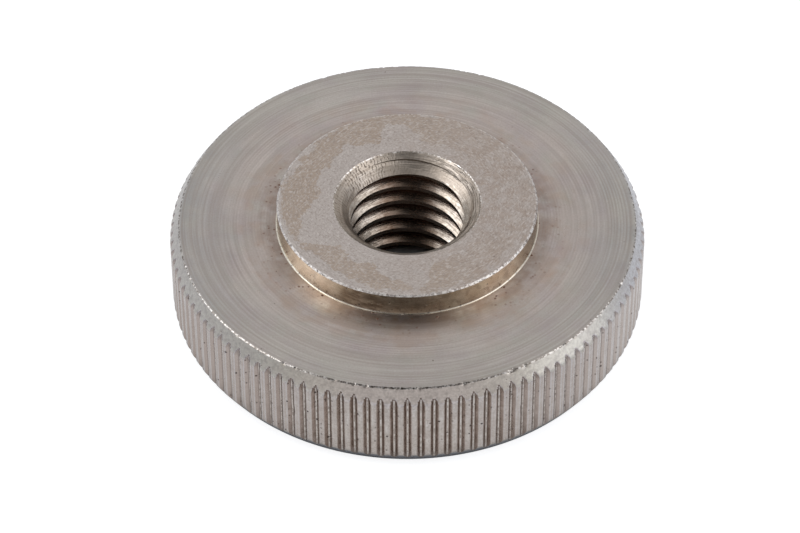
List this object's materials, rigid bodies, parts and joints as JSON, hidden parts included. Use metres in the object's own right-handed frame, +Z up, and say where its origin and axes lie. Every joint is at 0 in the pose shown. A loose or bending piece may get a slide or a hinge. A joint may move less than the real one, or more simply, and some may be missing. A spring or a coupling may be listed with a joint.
{
  "type": "knurled nut",
  "caption": "Low round finger nut in bare steel, with a straight-knurled rim, a low hub on its upper face and a countersunk M10 threaded hole.",
  "frame": {"origin": "centre of the flat underside that the nut stands on", "axes": "+Z up along the thread's axis, from the underside to the hub; a groove of the knurl faces -Y and another faces +Y"},
  "size_m": [0.036, 0.036, 0.0096],
  "materials": {
    "turned_steel": "bare turned carbon steel, satin, with light age stains"
  },
  "bodies": {
    "root": {"knurled_nut": "turned_steel"}
  },
  "joints": []
}
